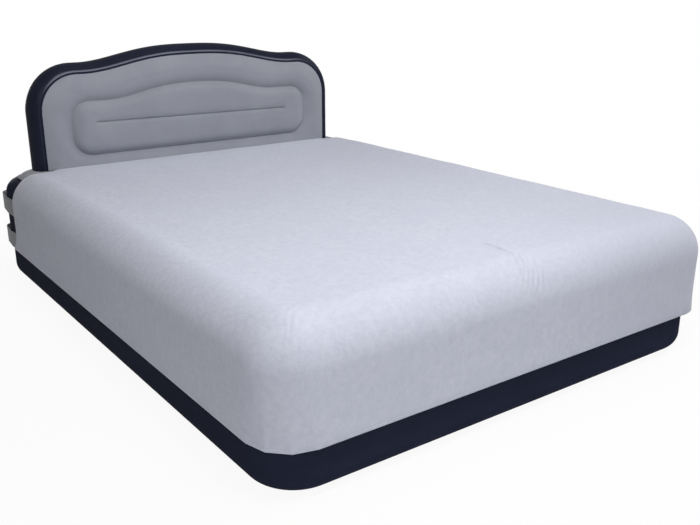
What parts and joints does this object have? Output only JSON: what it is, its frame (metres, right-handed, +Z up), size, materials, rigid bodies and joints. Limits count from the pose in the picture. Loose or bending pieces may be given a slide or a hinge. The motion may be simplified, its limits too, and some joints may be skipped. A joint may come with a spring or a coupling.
{
  "type": "air bed",
  "caption": "Raised inflatable bed with a fitted sheet, an inflated headboard with a raised pad, elastic straps round the head end and a built-in pump.",
  "frame": {"origin": "on the floor under the middle of the mattress's plan, at the centre of the base panel's underside", "axes": "+Z up, +Y towards the head end and headboard, +X across the bed"},
  "size_m": [1.5466, 2.071, 0.844],
  "materials": {
    "navy_vinyl": "navy PVC film with a soft sheen",
    "grey_flock": "short grey flock on vinyl",
    "pale_sheet": "pale lavender-grey microfibre",
    "grey_elastic": "grey woven elastic",
    "clear_vinyl": "pale translucent PVC",
    "grey_plastic": "fine moulded grain",
    "black_plastic": "satin moulded",
    "steel": "zinc-plated",
    "brass": "sintered bronze",
    "rubber": "matt"
  },
  "bodies": {
    "bed": {"base_panel": "navy_vinyl", "base_wall": "navy_vinyl", "middle_panel": "navy_vinyl", "side_wall": "navy_vinyl", "top_panel": "grey_flock", "waist_seam": "navy_vinyl", "top_seam": "navy_vinyl", "sleep_beam_1": "clear_vinyl", "sleep_beam_2": "clear_vinyl", "sleep_beam_3": "clear_vinyl", "sleep_beam_4": "clear_vinyl", "sleep_beam_5": "clear_vinyl", "sleep_beam_6": "clear_vinyl", "sleep_beam_7": "clear_vinyl", "base_beam_1": "clear_vinyl", "base_beam_2": "clear_vinyl", "base_beam_3": "clear_vinyl", "base_beam_4": "clear_vinyl", "base_beam_5": "clear_vinyl", "headboard_front": "grey_flock", "headboard_rim": "navy_vinyl", "headboard_back": "navy_vinyl", "headboard_floor": "navy_vinyl", "headboard_front_piping": "navy_vinyl", "headboard_back_piping": "navy_vinyl", "headboard_web": "navy_vinyl", "headboard_pad_web": "navy_vinyl", "fitted_sheet": "pale_sheet", "upper_strap": "grey_elastic", "lower_strap": "grey_elastic", "pump_tub": "navy_vinyl", "plate_gasket": "rubber", "pump_face_plate": "grey_plastic", "plate_screw_1": "steel", "plate_screw_2": "steel", "plate_screw_3": "steel", "plate_screw_4": "steel", "lid_hinge_pin": "steel", "cord_box": "grey_plastic", "cord_gland": "rubber", "air_grille": "black_plastic", "diverter_cup": "grey_plastic", "blower_cover": "grey_plastic", "blower_housing": "grey_plastic", "motor_case": "steel", "motor_bearing": "brass", "motor_pad": "rubber", "switch_body": "grey_plastic", "valve_seat": "rubber", "valve_guide": "grey_plastic", "valve_spring": "steel"},
    "knob": {"control_knob": "black_plastic", "knob_spindle": "steel", "air_diverter": "black_plastic"},
    "lid": {"cord_lid": "black_plastic"},
    "rocker": {"rocker_switch": "black_plastic"},
    "fan": {"impeller": "grey_plastic", "motor_shaft": "steel"},
    "check_valve": {"valve_disc": "grey_plastic", "valve_clip": "steel"}
  },
  "joints": [
    {"name": "knob_turn", "type": "hinge", "parent": "bed", "child": "knob", "pos_m": [0.045, 1.03, 0.219], "axis": [0, 1, 0], "range_deg": [-60, 60]},
    {"name": "lid_open", "type": "hinge", "parent": "bed", "child": "lid", "pos_m": [-0.0872, 1.0274, 0.213], "axis": [0, 0, 1], "range_deg": [0, 110]},
    {"name": "switch_rock", "type": "hinge", "parent": "bed", "child": "rocker", "pos_m": [0.045, 1.0234, 0.1725], "axis": [1, 0, 0], "range_deg": [0, 18]},
    {"name": "fan_spin", "type": "hinge", "parent": "bed", "child": "fan", "pos_m": [0.045, 0.95, 0.219], "axis": [0, 1, 0], "continuous": true},
    {"name": "valve_lift", "type": "slide", "parent": "bed", "child": "check_valve", "axis": [0, 0, 1], "range_m": [0, 0.01], "stiffness_N_per_m": 80, "springref_m": -0.003, "deforming": ["valve_spring"]}
  ]
}
